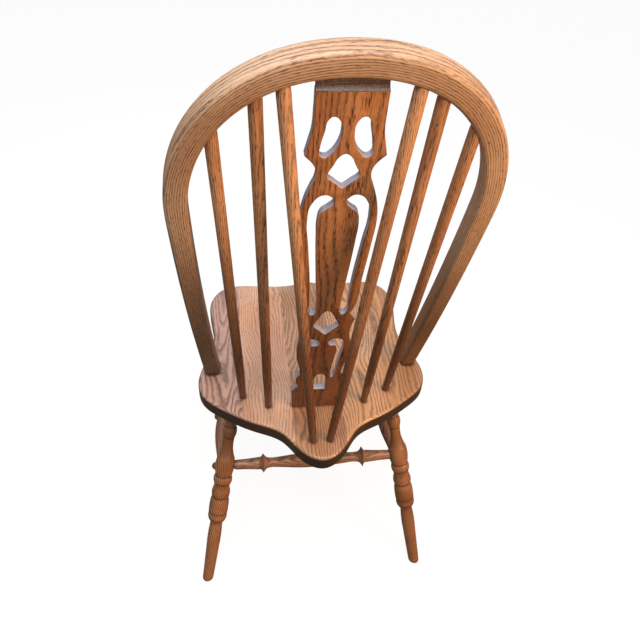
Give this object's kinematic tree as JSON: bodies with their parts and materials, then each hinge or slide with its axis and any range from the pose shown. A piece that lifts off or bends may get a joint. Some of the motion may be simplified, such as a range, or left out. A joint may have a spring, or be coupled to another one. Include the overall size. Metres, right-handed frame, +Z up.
{
  "type": "bow-back side chair",
  "caption": "Wooden side chair with a bent bow back, turned spindles, a pierced splat, a tail with brace spindles and turned legs.",
  "frame": {"origin": "on the floor, under the middle of the chair's bounding box", "axes": "+Z up, -Y the way the sitter faces, X across the chair, symmetric about X = 0"},
  "size_m": [0.4844, 0.4818, 1.1464],
  "materials": {
    "seat": "satin stained oak",
    "bow": "satin stained oak",
    "splat": "satin stained oak",
    "spindles": "satin stained oak",
    "legs": "satin stained oak",
    "stretchers": "satin stained oak"
  },
  "bodies": {
    "root": {"seat_board_1": "seat", "seat_board_2": "seat", "seat_board_3": "seat", "seat_board_4": "seat", "seat_board_5": "seat", "bow": "bow", "splat": "splat", "outer_spindle_left": "spindles", "outer_spindle_right": "spindles", "inner_spindle_left": "spindles", "inner_spindle_right": "spindles", "brace_spindle_left": "spindles", "brace_spindle_right": "spindles", "back_leg_left": "legs", "back_leg_right": "legs", "front_leg_left": "legs", "front_leg_right": "legs", "rear_stretcher": "stretchers", "front_stretcher": "stretchers", "side_stretcher_left": "stretchers", "side_stretcher_right": "stretchers"}
  },
  "joints": []
}
